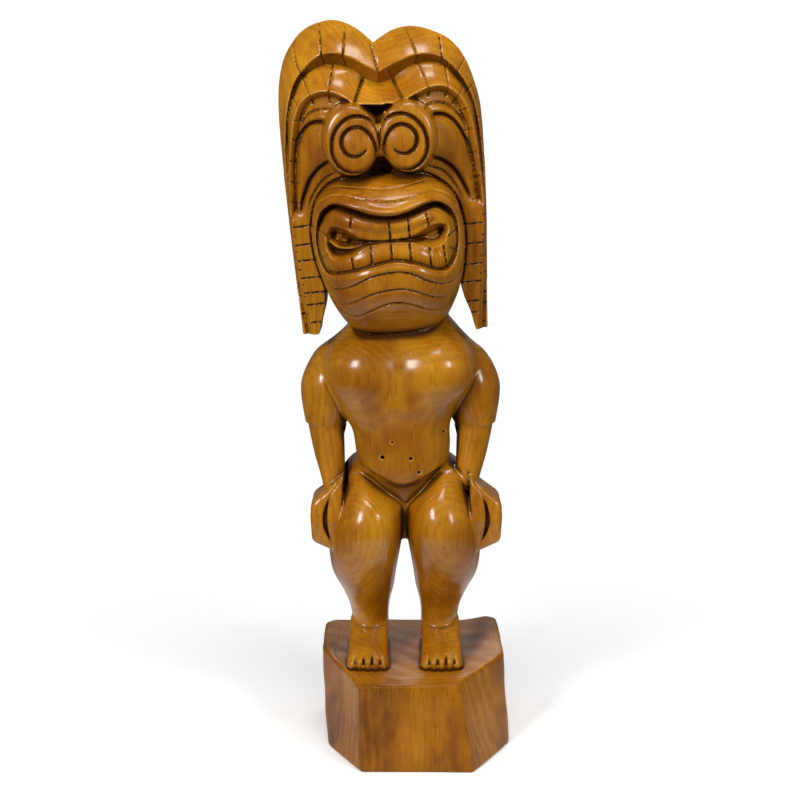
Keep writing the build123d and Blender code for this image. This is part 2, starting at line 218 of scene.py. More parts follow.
# Outlines of the head seen from the front: across, up from the neck.
RIDGE = bent(
    [(-125, -20), (-126, 10), (-127, 60), (-128.5, 123), (-129.5, 180), (-130.5, 240), (-130, 300),
     (-125, 345), (-113, 379), (-89, 405.5), (-60, 415), (-40, 413), (-18, 401), (1, 382)],
    [(1, 382), (14, 390), (31, 397.5), (52, 399), (76, 392), (100, 378), (117, 355), (128, 322),
     (134, 288), (134, 232), (130.5, 150), (128, 110), (125, 60), (121.5, 0), (120, -20)])
OUTER_EDGE = bent(
    [(-130, -20), (-130, 60), (-130, 150), (-128, 205), (-125, 256), (-120, 294), (-109, 332),
     (-95, 352), (-71, 370), (-47, 372), (-27, 363.5), (-10, 353), (5, 344)],
    [(5, 344), (22, 351.5), (46, 360), (66, 362), (86, 357), (103, 342), (118, 318), (127.5, 286),
     (131, 240), (131, 150), (128, 60), (125, -20)])
INNER_EDGE = bent(
    [(-109, -20), (-111, 8), (-114, 35), (-119, 70), (-122.5, 110), (-125.5, 150), (-126, 185),
     (-122, 228), (-117, 262), (-109, 293), (-95, 316), (-75, 325), (-56, 323.5), (-41, 315.5),
     (-29, 306)],
    [(-29, 306), (2, 303), (34, 304)],
    [(34, 304), (48, 312), (70, 320), (89, 319), (106, 306), (117, 286), (123.5, 255), (126.5, 215),
     (128, 180), (126.5, 140), (121, 100), (117, 63), (112, 35), (109, 5), (108, -20)])
LID_LINES = (
    [(-60, 284), (-79, 287), (-92, 283.5), (-102, 273), (-110, 257), (-115, 236), (-118.5, 214),
     (-119.5, 193), (-117, 168)],
    [(57, 280), (76, 284.5), (92, 278.5), (104, 263), (113, 241), (119, 218), (122, 198), (121, 170)])
FOLD_LINES = (
    [(-46, 300), (-68, 303.5), (-88, 300.5), (-101, 289), (-111, 272), (-116.5, 250), (-119.5, 228)],
    [(44, 287), (61, 297), (80, 299.5), (97, 291.5), (110, 274), (117.5, 255), (122.5, 234)])
CHEEK_LINES = (
    [(-60, 240), (-69, 237), (-82, 229.5), (-94, 218), (-102, 204), (-109, 188), (-114, 168)],
    [(56, 234), (64, 232.5), (79, 226), (94, 212), (104, 193), (109, 180), (113, 166)])
JOWL_LINES = (
    [(-58, 222), (-70, 218.5), (-81, 211), (-91, 199.5), (-99, 186), (-105, 168)],
    [(56, 221), (68, 217.5), (80, 210.5), (91, 196), (98, 182), (103, 166)])
MUZZLE = [
    (-4, 221), (47, 215), (84, 190), (97, 157), (99.5, 120), (93, 77), (81, 43), (64, 17),
    (37, 6), (0, 3), (-36, 6), (-61, 18), (-81, 52), (-95, 98), (-100, 130), (-99, 156),
    (-89, 190), (-60, 213)]
LIPS = [
    (-94, 139), (-88, 168), (-78, 180), (-64, 185), (-42, 178), (-17, 168.5), (5, 165), (26, 168),
    (51, 176), (68, 177), (84, 165), (91, 144), (89, 114), (78, 92), (61, 88), (33, 99),
    (9, 104.5), (-15, 102), (-50, 95), (-80, 94), (-91, 112)]
OPENING = [
    (-79, 141), (-77, 149), (-69, 155), (-53, 150), (-35, 138.5), (-13, 134), (8, 133.5),
    (29, 135), (46, 142), (62, 148), (74, 146), (77, 138), (69, 124), (56, 120), (45, 123),
    (28, 129), (8, 130.5), (-13, 130.5), (-32, 126.5), (-52, 115.5), (-70, 114), (-78, 124)]
SLIT = [(-150, 133), (-90, 133), (-40, 131.5), (8, 131.8), (40, 131.5), (90, 133), (150, 133)]

outline = line_distance(RIDGE)
outer = line_distance(OUTER_EDGE)
inner = line_distance(INNER_EDGE)
eyes = np.minimum(*[line_distance(bent(upper, lower[1:][::-1]), True)
                    for upper, lower in zip(LID_LINES, CHEEK_LINES)])
muzzle = line_distance(curve(MUZZLE, True, 6), True)
lips = line_distance(curve(LIPS, True, 6), True)
opening = line_distance(curve(OPENING, True, 6), True)
slit = line_distance(SLIT)

# How far each face stands forward on the middle line.
INNER_FRONT = 95
OUTER_FRONT = 79
BROW_FRONT = 80
FLAP_FRONT = 52
FLAP_SIDE = 42

# The log's own roundness: how far the front falls back towards the sides.
LOG_RADIUS = 136
falloff = LOG_RADIUS - np.sqrt(np.maximum(LOG_RADIUS**2 - across**2, 60))
flap_share = blend(205, 155, up)
inner_face = (INNER_FRONT - 0.49 * falloff) * (1 - flap_share) + FLAP_FRONT * flap_share
outer_face = (OUTER_FRONT - 0.35 * falloff) * (1 - flap_share) + FLAP_SIDE * flap_share

# Sunk face, between the crests and the muzzle: bulging eyes among folds.
nose_root = 9 * np.exp(-((np.abs(across) - 40) / 34) ** 2 - ((up - 248) / 30) ** 2)
brow = BROW_FRONT - 0.56 * falloff + nose_root
EYE_BULGE = 11
EYE_ROUNDING = 17
eye_round = np.sqrt(1 - (1 - np.clip(-eyes / EYE_ROUNDING, 0, 1)) ** 2)
eye_bulge = EYE_BULGE * eye_round * blend(160, 190, up)
folds = strokes(LID_LINES, 6.5, 5.5, 1.0, 0.5)
folds = folds + strokes(FOLD_LINES, 4.5, 2.8, 0.5, 0.5)
folds = folds + strokes(CHEEK_LINES, 6.0, 4.6, 1.0, 0.5)
folds = folds + strokes(JOWL_LINES, 4.6, 3.6, 0.6, 0.5)
lid_roll = 3.5 * np.exp(-((eyes - 7) / 5) ** 2) * blend(0, 30, up - 215)
relief = brow + eye_bulge + lid_roll - folds

# Flaps: a front facet and a side facet meeting along the inner crest's edge.
flap_plane = FLAP_FRONT - 0.13 * np.maximum(0, 118 - np.abs(across)) - 0.02 * np.maximum(0, 120 - up)
on_flap = blend(185, 160, up) * blend(80, 94, np.abs(across))
relief = relief * (1 - on_flap) + flap_plane * on_flap
JAW_HOLLOW = 14
relief = relief - JAW_HOLLOW * blend(150, 120, up) * blend(96, 88, np.abs(across))

# Crests: leaning faces, each with a wide undercut facet below its edge.
undercut = 0.10 + 1.55 * blend(150, 178, up)
under_inner = inner_face + undercut * (1 + 0.5 * blend(285, 305, up)) * inner
under_outer = outer_face + (0.4 + undercut) * outer
pillow = 3.0 * np.sin(np.clip(inner / 44, 0, 1) * math.pi) * blend(240, 300, up)
lean_back = 0.82 + 0.45 * blend(352, 322, up) + 1.5 * blend(300, 245, up) - 0.9 * flap_share
relief = np.where(inner > 0, inner_face - lean_back * inner + pillow, np.maximum(relief, under_inner))
relief = np.where(outer > 0, outer_face, np.maximum(relief, np.where(inner > 0, under_outer, relief)))
pillow = 5 * np.sin(np.clip(outer / 42, 0, 1) * math.pi) * blend(250, 330, up)
relief = np.where(outer > 0, outer_face - 0.98 * outer + pillow, relief)

# Cuts across the crests and the flaps, carried on over the facets below the edges.
OUTER_CUTS = [
    [(-104, 394), (-98, 357), (-88, 344)], [(-67, 412), (-66, 392), (-66, 362)],
    [(-32, 411), (-35, 390), (-40, 357)], [(-3, 384), (1, 362), (5, 342)],
    [(43, 402), (48, 386), (58, 352)], [(86, 390), (88, 348)], [(120, 356), (104, 333)],
    [(128, 322), (114, 308)]]
INNER_CUTS = [
    [(-93, 344), (-88, 328), (-82, 311)], [(-52, 360), (-60, 324), (-60, 311)],
    [(57, 350), (67, 320), (66, 309)], [(91, 344), (93, 318), (88, 307)],
    [(116, 322), (104, 304), (97, 297)], [(-110, 322), (-100, 304)]]
WIDE_CUTS = [[(-11, 348), (-20, 328), (-29, 306)], [(19, 346), (25, 326), (34, 304)]]
marks = strokes(OUTER_CUTS, 3.4, 3.2, 0.8) * (outer > -9)
marks += strokes(INNER_CUTS, 3.2, 2.9) * (outer < -6)
marks += strokes(WIDE_CUTS, 6.5, 4.6) * (outer < -6) * (inner > -3)
relief = relief - marks
RIM_MARKS = {-1: (292, 268, 240, 213, 186), 1: (288, 262, 232, 200, 172)}
for side, heights in RIM_MARKS.items():
    for height in heights:
        edge = 121 - 0.0011 * max(0, height - 200) ** 2
        short_cut = [(side * (edge + 3), height + 1), (side * (edge - 8), height - 2)]
        side_cut = [(side * 136, height + 18), (side * 126, height + 12)]
        relief -= stroke(short_cut, 2.6, 2.6) * (inner < 1)
        relief -= stroke(side_cut, 2.6, 3.0) * (inner > 2)
FLAP_CUTS = {-1: (155, 131, 110, 87, 67, 51, 27), 1: (139, 113, 86, 63, 37, 22)}
for side, heights in FLAP_CUTS.items():
    for height in heights:
        front_cut = [(side * 86, height), (side * 124, height + side)]
        side_cut = [(side * 117, height + 10), (side * 137, height + 12)]
        relief -= stroke(front_cut, 2.8, 3.2) * (inner < 1.5)
        relief -= stroke(side_cut, 2.8, 3.2) * (inner > -2)

# Muzzle: a ball flattened towards its middle, its chin rolled under.
MUZZLE_ROOT = 60
MUZZLE_SWELL = 75
swell = np.clip(-muzzle / 70, 0, 1)
ball = MUZZLE_ROOT + MUZZLE_SWELL * np.sqrt(1 - (1 - swell) ** 2)
ball -= 19 * blend(75, 0, up) + 8 * blend(180, 224, up)
LIP_WRINKLES = [
    [(-95, 176), (-89, 192), (-72, 202), (-55, 203.5), (-25, 200), (2, 197), (27, 199),
     (51, 202.5), (71, 199.5), (88, 186), (96, 168)],
    [(-96, 160), (-87, 182), (-72, 192), (-55, 193.5), (-26, 186.5), (3, 181.5),
     (27, 183.5), (52, 189.5), (72, 187), (88, 174), (95, 158)]]
CHIN_WRINKLES = [
    [(-97, 96), (-89, 80), (-72, 75), (-51, 79), (-24, 89.5), (2, 93), (25, 90), (47, 78),
     (69, 71), (86, 77), (97, 92)],
    [(-92, 68), (-84, 57), (-69, 53), (-50, 58), (-26, 67), (3, 71), (25, 68), (49, 57),
     (67, 53), (83, 58), (92, 70)],
    [(-80, 46), (-66, 40), (-50, 37), (-32, 43), (-12, 51), (7, 53), (27, 47), (47, 38),
     (66, 37.5), (79, 44)]]
wrinkles = strokes(LIP_WRINKLES, 4.4, 2.6, 0.6, 0.6)
wrinkles = wrinkles + strokes(CHIN_WRINKLES, 3.8, 3.3, 0.7, 0.7)
lip_roll = 4.5 * np.exp(-((lips - 4) / 4.5) ** 2) * blend(150, 168, up)
lip_roll = lip_roll + 2.5 * np.exp(-((lips - 6) / 5) ** 2) * blend(112, 98, up)
muzzle_front = ball - wrinkles + lip_roll

# Mouth: a ring of teeth behind the lips, open along a slit that widens at both corners.
# Each part of it is set back from the ball by its own depth.
TEETH_BACK = 8
GAP_BACK = 12
LID_BACK = 15
BUMP_BACK = 21
MOUTH_BACK = 31
under_lip = blend(146, 166, up)
gap = 5.5 * under_lip + 1.6
band = np.clip((-lips - gap) / 22, 0, 1)
teeth = ball - TEETH_BACK + 3.5 * np.sin(band * math.pi) - 2 * under_lip
teeth = teeth - 2.5 * (1 - blend(0, 0.12, band))
teeth = np.where(-lips < gap, ball - GAP_BACK - 11 * under_lip, teeth)
TOOTH_CUTS = [
    [(-44, 170), (-47, 152)], [(3, 160), (3, 134)], [(27, 162), (28, 135)],
    [(50, 170), (54, 144)], [(-93, 154), (-78, 144)], [(90, 138), (76, 131)],
    [(-49, 119), (-46, 94)], [(-23, 130), (-23, 101)], [(3, 132), (3, 103)],
    [(27, 130), (27, 100)], [(52, 120), (52, 90)], [(70, 120), (72, 90)],
    [(-79, 121), (-90, 112)], [(78, 117), (90, 109)]]
teeth = teeth - strokes(TOOTH_CUTS, 3.0, 3.8) - 2.4 * np.clip(1 - opening, 0, 12)
LEFT_LID = [(-80, 144), (-74, 135), (-66, 129), (-56, 127), (-43, 127), (-34, 131)]
lid_top = ball - LID_BACK - 2.2 * np.abs(line_distance(curve(LEFT_LID)))
bump = ball - BUMP_BACK - 0.14 * (across + 56) ** 2 - 0.25 * (up - 136.5) ** 2
mouth_floor = np.maximum(ball - MOUTH_BACK, np.maximum(lid_top, bump))
teeth = np.maximum(mouth_floor, teeth)
in_mouth = np.maximum(teeth, muzzle_front + 3.4 * lips)
muzzle_front = np.where(lips < 0, in_mouth, muzzle_front)
muzzle_front = np.maximum(muzzle_front, np.where(up > 205, brow - 4, 0))
beside_muzzle = relief - groove(muzzle, 7, 4.4) * blend(222, 206, up)
relief = np.where(muzzle < 0, muzzle_front, beside_muzzle)

# Nose: two oval discs, each wound with one spiral that ends in a hook under its pupil.
NOSTRIL_DEPTH = 119
DISC_EDGE = 5
DISC_RADII = (35, 43)
TURNS = (0, 45, 90, 180, 270, 360, 385, 410, 440, 470, 500, 540, 585, 630, 675, 720, 760)
COIL = (13, 14.5, 16.5, 19, 20, 22, 26, 32.5, 37, 37.5, 35.5, 31.5, 31, 33.5, 33, 30, 28)
discs = np.full(across.shape, 1e9)
for side, centre, pupil in ((-1, (-36.3, 262), (-29.5, 257.5)), (1, (35.3, 260.5), (28, 256.5))):
    radius = np.hypot((across - centre[0]) / DISC_RADII[0], (up - centre[1]) / DISC_RADII[1])
    distance = (radius - 1) * 37
    sideways, down = -side * (across - pupil[0]), pupil[1] - up
    reach = np.hypot(sideways, down)
    turn = np.degrees(np.arctan2(down, sideways)) % 360
    coil = np.zeros(across.shape)
    for lap in (0, 360):
        width = 4 + 3.2 * blend(40, 130, turn + lap)
        begun = blend(28, 50, turn + lap) * blend(728, 700, turn + lap)
        wound = groove(reach - track(turn + lap, TURNS, COIL), width, 0.95 * width)
        coil = np.maximum(coil, wound * begun)
    dimple = groove(np.hypot(sideways - 1, down - 13.5), 9, 1.75)
    face = NOSTRIL_DEPTH - DISC_EDGE * np.clip(radius, 0, 1) ** 8
    face = face + 2 * np.clip(1 - (reach / 15) ** 2, 0, 1) - coil - dimple
    rim = np.maximum(relief, NOSTRIL_DEPTH - DISC_EDGE - 7.0 * np.maximum(distance, 0))
    relief = np.where(distance < 0, np.maximum(face, 0), rim)
    discs = np.minimum(discs, distance)
in_bridge = (np.abs(across + 0.5) < 14) & (up < 280 - 0.6 * np.abs(across)) & (up > 238) & (discs > -1)
bridge = NOSTRIL_DEPTH - 8 - 0.35 * np.clip(250 - up, 0, 20)
relief = np.where(in_bridge, np.maximum(relief, bridge), relief)
hollow_under = 24 * np.exp(-((across / 15) ** 2 + ((up - 226) / 9) ** 2))
relief = relief - hollow_under * (discs > 0)
notch = 30 * np.exp(-((across / 17) ** 2 + ((up - 296) / 9) ** 2))
relief = relief - notch * (discs > 0) * (inner < 0)

relief = relief.astype(np.float32)
slope = np.hypot(*np.gradient(relief, RELIEF_STEP)).astype(np.float32)
slope = np.sqrt(1 + np.minimum(slope, 5.0) ** 2)
outline, outer, inner, eyes, muzzle, lips, slit, discs = (
    table.astype(np.float32) for table in (outline, outer, inner, eyes, muzzle, lips, slit, discs))


def sample(table, x, y):
    i = np.clip((x - ACROSS[0]) / RELIEF_STEP, 0, len(ACROSS) - 1.001)
    j = np.clip((y - UP[0]) / RELIEF_STEP, 0, len(UP) - 1.001)
    i0, j0 = i.astype(np.int32), j.astype(np.int32)
    u, v = i - i0, j - j0
    return (table[i0, j0] * (1 - u) * (1 - v) + table[i0 + 1, j0] * u * (1 - v)
            + table[i0, j0 + 1] * (1 - u) * v + table[i0 + 1, j0 + 1] * u * v)


def head_place(x, y, z):
    dx, dz = x - NECK[0], z - NECK[2]
    c, s = math.cos(LEAN), math.sin(LEAN)
    return dx * c + dz * s, y, dz * c - dx * s


# ---- The whole head as a solid ----
HOOD_REAR = 104
HOOD_HEM = 92
FLAP_REAR = 30
TRESS_PITCH = 24
JAW_LEVELS = (-20, 0, 14, 30, 50, 77, 115, 157, 190, 225)
JAW_HALVES = (56, 56, 64, 74, 82, 90, 96, 98, 96, 92)


def head_form(x, y, z):
    a, y, h = head_place(x, y, z)
    aside = np.abs(a)
    front = (-y - sample(relief, a, h)) / sample(slope, a, h)
    # The hood: the ridge line carried back over the head, dropping and rounding to the rear.
    back = np.clip(y + 28, 0, None)
    drop = 0.0042 * back**2
    sides = sample(outline, a * (1 + 0.00002 * back**2), h + drop)
    rear = y - HOOD_REAR * np.clip(1 - (aside / 150) ** 3, 0.05, 1)
    rear = rear + 0.0022 * np.clip(h - 260, 0, None) ** 2
    tresses = groove((a + TRESS_PITCH / 2) % TRESS_PITCH - TRESS_PITCH / 2, 6, 2.8)
    tresses = tresses * blend(40, 70, y) * blend(80, 110, h) * blend(118, 100, aside)
    hem = HOOD_HEM - 0.0020 * a * a - h
    hood = meet(meet(sides, rear, 24) + tresses, hem, 8)
    flap_back = y - FLAP_REAR + 0.1 * np.clip(120 - h, 0, None)
    gap_half = track(h, (-20, 0, 20, 50, 80, 110), (107, 105, 101, 92, 91, 92))
    flaps = np.maximum(sides, np.maximum(flap_back, gap_half - aside))
    flaps = meet(flaps, 4.5 - 5.5 * np.sign(a) - h, 2)
    flaps = np.maximum(flaps, h - BROW_LEVEL)
    jaw_half = track(h, JAW_LEVELS, JAW_HALVES)
    jaw_back = track(h, (-20, 0, 60, 120, 225), (50, 54, 68, 80, 80))
    jaw_front = track(h, (-20, 0, 14, 40, 80), (36, 38, 48, 62, 80))
    middle, deep = (jaw_back - jaw_front) / 2, (jaw_back + jaw_front) / 2
    jaw = (np.hypot(a / jaw_half, (y - middle) / deep) - 1) * jaw_half
    jaw = np.maximum(jaw, np.maximum(-4 - h, h - 240))
    muzzle_solid = np.maximum(sample(muzzle, a, h), y)
    body = join(join(hood, jaw, 4), muzzle_solid, 1)
    body = join(body, flaps, 2)
    return np.maximum(body, front)


# ---- The body ----
def ellipsoid(x, y, z, centre, radii):
    u = [(p - c) / r for p, c, r in zip((x, y, z), centre, radii)]
    k = np.sqrt(u[0] ** 2 + u[1] ** 2 + u[2] ** 2)
    g = np.sqrt((u[0] / radii[0]) ** 2 + (u[1] / radii[1]) ** 2 + (u[2] / radii[2]) ** 2)
    return k * (k - 1) / np.maximum(g, 1e-6)


def limb(x, y, z, start, end, r0, r1):
    ax, ay, az = start
    dx, dy, dz = (e - s for s, e in zip(start, end))
    t = np.clip(((x - ax) * dx + (y - ay) * dy + (z - az) * dz) / (dx * dx + dy * dy + dz * dz), 0, 1)
    d = np.sqrt((x - ax - t * dx) ** 2 + (y - ay - t * dy) ** 2 + (z - az - t * dz) ** 2)
    return d - r0 - (r1 - r0) * t


def column(x, y, z, levels, centres, halves, fronts, backs, power=2.3):
    cx, w = track(z, levels, centres), track(z, levels, halves)
    front, rear = track(z, levels, fronts), track(z, levels, backs)
    cy, d = (rear - front) / 2, (rear + front) / 2
    r = ((np.abs(x - cx) / w) ** power + (np.abs(y - cy) / d) ** power) ** (1 / power)
    return (r - 1) * np.minimum(w, d) * 0.9


WORM_HOLES = ((-17, 448, 1.4), (-30, 426, 2.6), (8, 425, 2.1), (19, 405, 1.9), (52, 458, 1.5))


def torso_form(x, y, z):
    levels = (375, 388, 400, 412, 426, 440, 455, 475, 500, 530, 555, 575, 592, 610)
    centres = (-4, -4, -4, -3, -4, -5, -7, -9, -9, -9, -8, -6, -4, -4)
    halves = (80, 84, 76, 66, 61, 60.5, 64.5, 75, 88, 99, 105, 97, 80, 64)
    fronts = (42, 46, 54, 60, 62, 64, 68, 75, 82, 83, 76, 68, 60, 52)
    backs = (70, 72, 68, 60, 52, 50, 53, 60, 68, 74, 72, 66, 60, 54)
    form = column(x, y, z, levels, centres, halves, fronts, backs)
    form = np.maximum(form, np.maximum(380 - z, z - 616))
    for side in (-1, 1):
        pec = ellipsoid(x, y, z, (BODY_X + side * 44, -46, 542), (54, 42, 44))
        form = join(form, pec, 16)
        shoulder_blade = ellipsoid(x, y, z, (BODY_X + side * 52, 52, 530), (38, 26, 44))
        form = join(form, shoulder_blade, 16)
        buttock = ellipsoid(x, y, z, (side * 36 - 3, 34, 374), (46, 44, 46))
        form = join(form, buttock, 12)
    loin = ellipsoid(x, y, z, (-4, -2, 386), (64, 52, 50))
    form = join(form, loin, 6)
    belly = ellipsoid(x, y, z, (BODY_X + 4, -27, 428), (62, 42, 76))
    belly = meet(belly, 376 + 0.60 * np.hypot(x - BODY_X - 3, 18) - z, 5)
    form = join(form, belly, 4 + 15 * blend(405, 446, z))
    for across, up, radius in WORM_HOLES:
        form = cut(form, np.maximum(np.hypot(x - across, z - up) - radius, y + 36), 0.8)
    spine = np.hypot(x - BODY_X, (y - 84) * 0.55) - 9
    return cut(form, np.maximum(spine, 420 - z), 10)


def arm_form(x, y, z, side):
    across_arm = side * (x - BODY_X)
    upper = join(
        ellipsoid(across_arm, y, z, (98, 2, 508), (37, 38, 58)),
        limb(across_arm, y, z, (104, -2, 510), (105.5, -4, 450), 29, 24.5), 12)
    upper = meet(upper, ELBOW + 0.10 * (across_arm - 104) - z, 2)
    lower = limb(across_arm, y, z, (105, 4, 485), (92, -26, 374), 28, 17)
    middle = track(z, (370, 395, 421, 450, 490), (91, 92.5, 97.5, 102, 105))
    half = track(z, (370, 395, 421, 450, 490), (13, 18, 22.5, 25.5, 27))
    lower = meet(lower, np.abs(across_arm - middle) - half, 5)
    return join(upper, lower, 2)


def hand_form(x, y, z, side):
    across_hand = side * (x - 2)
    top, low_end = 386 - 0.78 * (across_hand - 100), 297 + 0.5 * (across_hand - 104)
    form = meet(z - top, low_end - z, 4)
    form = meet(form, across_hand - 130 + 0.05 * np.abs(z - 345), 6)
    form = meet(form, 86 - across_hand, 4)
    form = meet(form, -y - 76 + 0.2 * np.abs(z - 340), 8)
    form = meet(form, y - 12 + 0.25 * np.abs(z - 340), 12)
    bow = 98 + 12 * (1 - ((z - 342) / 40) ** 2)
    reach = np.clip(1 - ((z - 340) / 32) ** 2, 0, 1)
    slot = np.abs(across_hand - bow) - 3.2 * reach + 0.8
    slot = np.maximum(slot, y + 67 - 0.2 * np.abs(z - 340))
    return cut(form, slot, 5)


def leg_form(x, y, z, side):
    u = side * x
    levels = (170, 185, 205, 230, 255, 280, 305, 325, 345, 365, 385, 400)
    centres = (49, 49, 50, 52, 56, 56, 54, 52, 50, 47, 44, 42)
    halves = (26, 26, 29, 36.5, 44, 48, 50, 50, 48, 45.5, 41, 36)
    fronts = (25, 27, 36, 56, 74, 88, 97, 101, 98, 88, 72, 58)
    backs = (44, 41, 40, 44, 48, 47, 43, 42, 48, 58, 62, 60)
    form = column(u, y, z, levels, centres, halves, fronts, backs, 2.2)
    calf = ellipsoid(u, y, z, (58, 26, 262), (34, 32, 58))
    form = join(form, calf, 8)
    form = meet(form, 1.2 - u, 3)
    web = np.maximum(np.abs(u) - 6, np.maximum(np.abs(y + 14 + 0.12 * (z - 306)) - 24, 306 - z))
    form = join(form, web, 4)
    top = 364 + (0.62 if side < 0 else 0.95) * (u - 15) + 0.35 * (y + 60)
    return meet(np.maximum(form, 150 - z), z - np.minimum(top, 402), 14)


def foot_form(x, y, z, side):
    u = side * x - 51
    top = track(y, (-90, -74, -55, -35, -10, 20, 52), (13, 17, 24, 38, 58, 56, 36)) + BASE_TOP
    half = track(y, (-90, -60, -30, 0, 30, 60), (29, 29, 27, 26, 26, 24))
    form = meet(z - top + 0.012 * u * u, np.abs(u) - half, 7)
    toes = 3.2 * np.abs(np.sin(math.pi * (u + 17.4) / 11.6))
    form = meet(form, meet(-y - 77 - toes + 0.006 * (u + 4) ** 2, y - 50, 10), 6)
    form = np.maximum(form, BASE_TOP - 6 - z)
    for n in range(4):
        cleft = np.abs(u + 17.4 - 11.6 * n) + 0.4 - 1.3 * blend(-60, -80, y)
        form = cut(form, np.maximum(np.maximum(cleft, y + 63), top - 9 - z), 3)
    return form


BASE_CORNERS = (
    ((-62, -131), (-60, -128)), ((72, -124), (94, -131)), ((141, -14), (150, -26)),
    ((138, 126), (144, 128)), ((124, 139), (128, 139)), ((-106, 139), (-102, 139)),
    ((-120, 126), (-114, 126)), ((-120, 12), (-110, -36)))


def base_form(x, y, z):
    rim = 7 * blend(86, 132, x) * blend(-80, 50, y) + 3 * blend(-92, -108, x) * blend(60, -10, y)
    rim = rim - 4 * blend(-98, -128, y)
    rim = rim + 0.35 * np.sin(0.11 * x + 0.05 * y) * np.sin(0.09 * y - 0.06 * x + 2 * np.sin(0.05 * x))
    form = np.maximum(z - BASE_TOP - rim, -z)
    share = z / BASE_TOP
    corners = [(b[0] + (t[0] - b[0]) * share, b[1] + (t[1] - b[1]) * share) for t, b in BASE_CORNERS]
    hewn = 0.9 * np.sin(0.043 * z + 0.031 * x) + 0.7 * np.sin(0.087 * z + 2 + 0.05 * y)
    for (ax, ay), (bx, by) in zip(corners, corners[1:] + corners[:1]):
        nx, ny = by - ay, ax - bx
        d = ((x - ax) * nx + (y - ay) * ny) / np.hypot(nx, ny) + 0.6 * hewn + 0.8
        form = meet(form, d, 4.5)
    return form


def body_form(x, y, z):
    form = torso_form(x, y, z)
    groin = 3.5 + 9 * blend(-25, 25, y)
    for side in (-1, 1):
        form = join(form, leg_form(x, y, z, side), groin)
    for side in (-1, 1):
        form = join(form, arm_form(x, y, z, side), 3.5 + 14 * blend(528, 566, z))
        form = join(form, hand_form(x, y, z, side), 2.5)
        form = join(form, foot_form(x, y, z, side), 2.5)
    return form


BODY_REACH = 660
HEAD_REACH = 520
FAR_OFF = 1e3


def figure_form(x, y, z):
    """The carving above its base, head and body."""
    form = np.full(x.shape, FAR_OFF)
    body = z < BODY_REACH
    if body.any():
        form[body] = body_form(x[body], y[body], z[body])
    head = z > HEAD_REACH
    if head.any():
        form[head] = join(form[head], head_form(x[head], y[head], z[head]), 2.5)
    return form


# ---- Skinning a form with evenly spaced faces ----
BLOCK = 8
POINTS_AT_ONCE = 60000
BLOCKS_AT_ONCE = 400
POOL = ThreadPoolExecutor(4)


def values_at(form, points):
    parts = np.array_split(points, max(1, len(points) // POINTS_AT_ONCE))
    found = POOL.map(lambda p: form(p[:, 0], p[:, 1], p[:, 2]), parts)
    return np.concatenate(list(found))


def skin(form, lowest, highest, cell):
    """Vertices and four-sided faces of the surface where form is nought."""
    counts = [int(math.ceil((b - a) / (cell * BLOCK))) for a, b in zip(lowest, highest)]
    origin = np.array(lowest, float)
    grid = np.indices(counts).reshape(3, -1).T
    centres = origin + (grid + 0.5) * BLOCK * cell
    rough = values_at(form, centres)
    near = np.abs(rough) < 1.7 * BLOCK * cell
    volume = np.repeat(np.repeat(np.repeat(rough.reshape(counts), BLOCK, 0), BLOCK, 1), BLOCK, 2)
    volume = np.pad(volume, ((0, 1),) * 3, mode="edge").astype(np.float32)
    local = np.indices((BLOCK + 1,) * 3).reshape(3, -1).T
    for corner in np.array_split(grid[near], max(1, near.sum() // BLOCKS_AT_ONCE)):
        index = (corner[:, None, :] * BLOCK + local[None]).reshape(-1, 3)
        found = values_at(form, origin + index * cell)
        volume[index[:, 0], index[:, 1], index[:, 2]] = found
    solid = volume < 0
    corners = list(np.ndindex(2, 2, 2))
    n = [s - 1 for s in volume.shape]
    total = sum(solid[i:i + n[0], j:j + n[1], k:k + n[2]].astype(np.int8) for i, j, k in corners)
    cells = np.argwhere((total > 0) & (total < 8))
    number = np.full(n, -1, np.int32)
    number[tuple(cells.T)] = np.arange(len(cells))
    value = np.stack([volume[tuple((cells + c).T)] for c in corners], 1)
    place = np.zeros((len(cells), 3))
    weight = np.zeros(len(cells))
    for p, a in enumerate(corners):
        for q, b in enumerate(corners):
            if p < q and sum(abs(s - t) for s, t in zip(a, b)) == 1:
                crossing = (value[:, p] < 0) != (value[:, q] < 0)
                t = value[:, p] / np.where(crossing, value[:, p] - value[:, q], 1)
                step = np.array(a) + t[:, None] * (np.array(b) - np.array(a))
                place[crossing] += step[crossing]
                weight += crossing
    points = origin + (cells + place / weight[:, None]) * cell
    faces = []
    for axis in range(3):
        u, v = [k for k in range(3) if k != axis]
        ahead = np.zeros(3, int)
        ahead[axis] = 1
        first = solid[tuple(slice(0, s - 1) if k == axis else slice(1, s - 1)
                            for k, s in enumerate(solid.shape))]
        second = solid[tuple(slice(1, s) if k == axis else slice(1, s - 1)
                             for k, s in enumerate(solid.shape))]
        edge = np.argwhere(first != second)
        leaving = first[tuple(edge.T)]
        edge[:, u] += 1
        edge[:, v] += 1
        ring = []
        for du, dv in ((0, 0), (1, 0), (1, 1), (0, 1)):
            at = edge.copy()
            at[:, u] -= du
            at[:, v] -= dv
            ring.append(number[tuple(at.T)])
        quad = np.stack(ring, 1)
        turned = leaving if axis != 1 else ~leaving
        quad[~turned] = quad[~turned][:, ::-1]
        faces.append(quad)
    return points, np.vstack(faces)


def gradient(form, points, reach=0.35):
    out = np.empty_like(points)
    for axis in range(3):
        step = np.zeros(3)
        step[axis] = reach
        out[:, axis] = values_at(form, points + step) - values_at(form, points - step)
    return out / (2 * reach)


def settle(form, points, cell):
    """Moves points onto the surface, by no more than part of a cell."""
    for _ in range(2):
        g = gradient(form, points)
        size = np.maximum((g**2).sum(1), 0.05)
        move = -(values_at(form, points) / size)[:, None] * g
        length = np.linalg.norm(move, axis=1, keepdims=True)
        points = points + move * np.minimum(1, 0.4 * cell / np.maximum(length, 1e-9))
    return points


